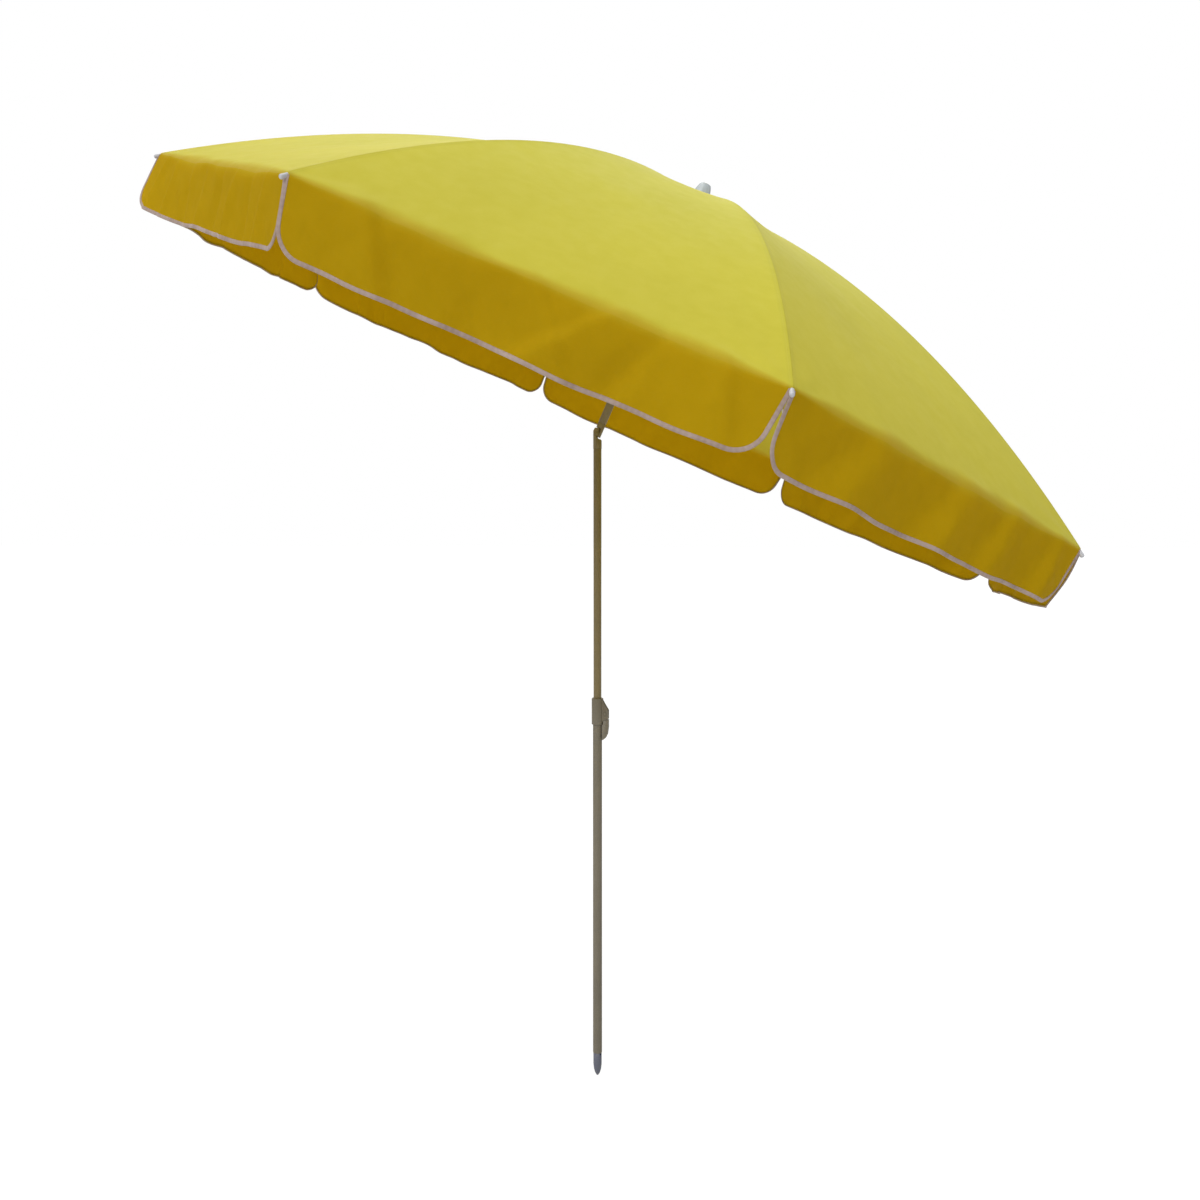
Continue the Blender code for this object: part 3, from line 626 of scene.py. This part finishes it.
def flap_point(index, y, depth):
    """A point of a flap's surface in the gore's frame, which also goes on past the flap's edge."""
    reach = depth * (1 + LENGTH_VARIES * noise.noise(Vector((y * 7, index * 4.1, 2.2))))
    first = RIM_SLOPE + rim_bend_angle(index, y)
    last = hang_slope(index, y)
    bend = bend_length(index, y)
    x, z = rim_line(index, y)
    steps = 6
    bent = min(reach, bend)
    for step in range(steps):
        slope = last - (last - first) * (1 - (step + 0.5) / steps * bent / bend) ** 2
        x += bent / steps * math.cos(slope)
        z -= bent / steps * math.sin(slope)
    x += (reach - bent) * math.cos(last)
    z -= (reach - bent) * math.sin(last)
    slope = last - (last - first) * max(0.0, 1 - reach / bend) ** 2
    out = stand_out(index, y, reach)
    return Vector((x + out * math.sin(slope), y, z + out * math.cos(slope)))


def rim_line(index, y):
    """Where the rim lies at y, before the folds, as x and z in the gore's frame."""
    bend = bend_length(index, y)
    inward = rim_bend_angle(index, y) * bend / 3
    x = RIM_RADIUS * HALF_COS - inward * math.sin(RIM_SLOPE)
    return x, CLOTH_LIFT - drop(RIM_RADIUS) - inward * math.cos(RIM_SLOPE)


def flap_depths():
    """Depths of a flap's rows: close together in the bend, then even, then round the corners."""
    straight = FLAP_LENGTH - FLAP_CORNER
    depths = [RIM_BEND * (j / BEND_ROWS) ** ROWS_CLOSE_UP for j in range(BEND_ROWS)]
    depths += [RIM_BEND + (straight - RIM_BEND) * j / FLAP_ROWS for j in range(FLAP_ROWS)]
    for j in range(CORNER_ROWS + 1):
        depths.append(straight + FLAP_CORNER * math.sin(math.pi / 2 * j / CORNER_ROWS))
    return depths


def flap_sides(index, depth):
    """Left and right limit of a flap at this depth, with its rounded lower corners."""
    into_corner = max(0.0, depth - (FLAP_LENGTH - FLAP_CORNER))
    corner = FLAP_CORNER - math.sqrt(max(0.0, FLAP_CORNER**2 - into_corner**2))
    down = depth / (FLAP_LENGTH - FLAP_CORNER)
    left, right = (HALF_RIM - lean * down - corner for lean in SIDE_LEAN[index])
    return -left, right


def flap_cloth(index):
    """One flap, from the rim down to its rounded lower corners."""
    points, flat, edges, hanging = [], [], [], []
    for depth in flap_depths():
        left, right = flap_sides(index, depth)
        places = [left + (right - left) * i / FLAP_COLUMNS for i in range(FLAP_COLUMNS + 1)]
        points.append([flap_point(index, y, depth) for y in places])
        flat.append([(y, depth) for y in places])
        # The stitches of a flap lie at its edge, under the binding.
        edges.append([min(y - left, right - y, FLAP_LENGTH - depth) + HEM for y in places])
        hanging.append([hanging_share(index, y, depth) for y in places])
    obj = grid_object(f"valance_{index + 1}_cloth", points, flat, edges, hanging, gore_matrix(index))
    obj.data.materials.append(LOOKS["valance_cloth"])
    return obj


# Tape section: (in from the cloth's edge, out from the cloth). The tape shows more on the outside.
TAPE_SECTION = (
    (0.0062, 0.0004),
    (0.0059, 0.0011),
    (0.0032, 0.0014),
    (0.0004, 0.0013),
    (-0.0009, 0.0008),
    (-0.0012, 0.0000),
    (-0.0008, -0.0008),
    (0.0004, -0.0012),
    (0.0015, -0.0011),
    (0.0020, -0.0004),
)


def flap_edge(index):
    """Flat places along a flap's left side, bottom and right side."""
    sides = [(depth, *flap_sides(index, depth)) for depth in flap_depths()[1:]]
    low, first, last = sides[-1]
    across = [first + (last - first) * i / FLAP_COLUMNS for i in range(1, FLAP_COLUMNS)]
    return (
        [Vector((left, depth)) for depth, left, right in sides]
        + [Vector((y, low)) for y in across]
        + [Vector((right, depth)) for depth, left, right in reversed(sides)]
    )


def flap_binding(index):
    """Tape folded over the flap's sides and bottom and sewn down."""
    matrix = gore_matrix(index)
    path = flap_edge(index)
    work = bmesh.new()
    uv = work.loops.layers.uv.new("cloth")
    rings, lengths = [], [0.0]
    for k, place in enumerate(path):
        before, after = path[max(0, k - 1)], path[min(len(path) - 1, k + 1)]
        along = (after - before).normalized()
        inward = Vector((along.y, -along.x))
        ring = []
        for inset, out in TAPE_SECTION:
            y, depth = place + inward * inset
            spot = flap_point(index, y, depth)
            across = flap_point(index, y + 0.001, depth) - spot
            down = flap_point(index, y, depth + 0.001) - spot
            ring.append(work.verts.new(matrix @ (spot + down.cross(across).normalized() * out)))
        rings.append(ring)
        lengths.append(lengths[-1] + (after - place).length)
    count = len(TAPE_SECTION)
    for k in range(len(rings) - 1):
        for s in range(count):
            t = (s + 1) % count
            face = work.faces.new((rings[k][s], rings[k][t], rings[k + 1][t], rings[k + 1][s]))
            places_flat = ((s, k), (s + 1, k), (s + 1, k + 1), (s, k + 1))
            for loop, (a, b) in zip(face.loops, places_flat):
                loop[uv].uv = (a * 0.0012, lengths[b])
    work.faces.new(rings[0])
    work.faces.new(reversed(rings[-1]))
    bmesh.ops.recalc_face_normals(work, faces=work.faces)
    obj = object_from(work, f"valance_{index + 1}_binding", 60)
    obj.data.materials.append(TAPE)
    return obj


def cover():
    """The gores and flaps on their bodies."""
    for index in range(GORES):
        number = index + 1
        gore = gore_cloth(index)
        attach(gore, f"gore_{number}")
        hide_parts(f"gore_{number}")
        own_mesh(gore)
        flap = flap_cloth(index)
        binding = flap_binding(index)
        for piece in (flap, binding):
            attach(piece, f"valance_{number}")
            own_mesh(piece)
        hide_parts(f"valance_{number}")


# ---------------------------------------------------------------- metal and plastic

EASED = {  # width of each piece's moulded or worn edges, in metres
    "lower_pole": 0.0003,
    "upper_pole": 0.0003,
    "head_pole": 0.0003,
    "clamp_collar": 0.0005,
    "clamp_lever": 0.0009,
    "tilt_fork": 0.0004,
    "tilt_tongue": 0.0004,
    "crown_hub": 0.0004,
    "canopy_washer": 0.0005,
    "finial": 0.0008,
    "runner": 0.0006,
    "ground_spike": 0.0003,
}
SMALL_EDGE = 0.0002


def finished_copy(node):
    """The CAD node's own shape, with its sharp edges eased and its round faces smooth."""
    work = bmesh.new()
    work.from_mesh(NODES[node].data)
    bmesh.ops.remove_doubles(work, verts=work.verts, dist=5e-6)
    bmesh.ops.dissolve_limit(work, angle_limit=math.radians(0.6), verts=work.verts, edges=work.edges)
    sharp = math.radians(28)
    edges = [e for e in work.edges if len(e.link_faces) == 2 and e.calc_face_angle(0) > sharp]
    width = EASED.get(node, SMALL_EDGE)
    bmesh.ops.bevel(
        work, geom=edges, offset=width, segments=2, profile=0.5, affect="EDGES", clamp_overlap=True
    )
    obj = object_from(work, f"{node}_finished", 40)
    body = NODES[node]["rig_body"]
    obj.data.materials.append(LOOKS[SLOT_OF[node]])
    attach(obj, body)
    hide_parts(node)
    return obj


def hardware():
    """Every piece of metal or plastic."""
    for node, slot in SLOT_OF.items():
        if not slot.endswith("_cloth"):
            piece = finished_copy(node)
            if node == "button_spring":
                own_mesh(piece)


# ---------------------------------------------------------------- floor, light and camera


def stage():
    bpy.ops.mesh.primitive_plane_add(size=FLOOR_SIZE, location=(0, 0, FLOOR_HEIGHT))
    floor = bpy.context.object
    floor.name = "floor"
    floor.data.materials.append(floor_material())


def light():
    """Soft light all round, which the camera sees as white, and three broad suns."""
    world = bpy.data.worlds.new("studio")
    bpy.context.scene.world = world
    world.use_nodes = True
    tree = world.node_tree
    soft = tree.nodes["Background"]
    soft.inputs["Color"].default_value = (0.97, 0.98, 1.0, 1)
    soft.inputs["Strength"].default_value = WORLD_STRENGTH
    shown = tree.nodes.new("ShaderNodeBackground")
    shown.inputs["Color"].default_value = (1, 1, 1, 1)
    path = tree.nodes.new("ShaderNodeLightPath")
    mix = tree.nodes.new("ShaderNodeMixShader")
    tree.links.new(path.outputs["Is Camera Ray"], mix.inputs[0])
    tree.links.new(soft.outputs[0], mix.inputs[1])
    tree.links.new(shown.outputs[0], mix.inputs[2])
    tree.links.new(mix.outputs[0], tree.nodes["World Output"].inputs["Surface"])
    for name, strength, spread, turn in SUNS:
        lamp = bpy.data.lights.new(name, "SUN")
        lamp.energy = strength
        lamp.angle = math.radians(spread)
        obj = bpy.data.objects.new(name, lamp)
        obj.rotation_euler = [math.radians(angle) for angle in turn]
        bpy.context.scene.collection.objects.link(obj)


def camera():
    data = bpy.data.cameras.new("camera")
    data.sensor_width = 36
    data.lens = CAMERA_LENS
    obj = bpy.data.objects.new("camera", data)
    bpy.context.scene.collection.objects.link(obj)
    obj.location = Matrix.Rotation(CAMERA_TURN, 3, "Z") @ Vector(CAMERA_PLACE)
    obj.rotation_euler = (math.pi / 2 - CAMERA_DOWN, 0, CAMERA_TURN)
    bpy.context.scene.camera = obj
    bpy.context.scene.view_settings.view_transform = "Standard"


camera()
light()
stage()
hardware()
cover()
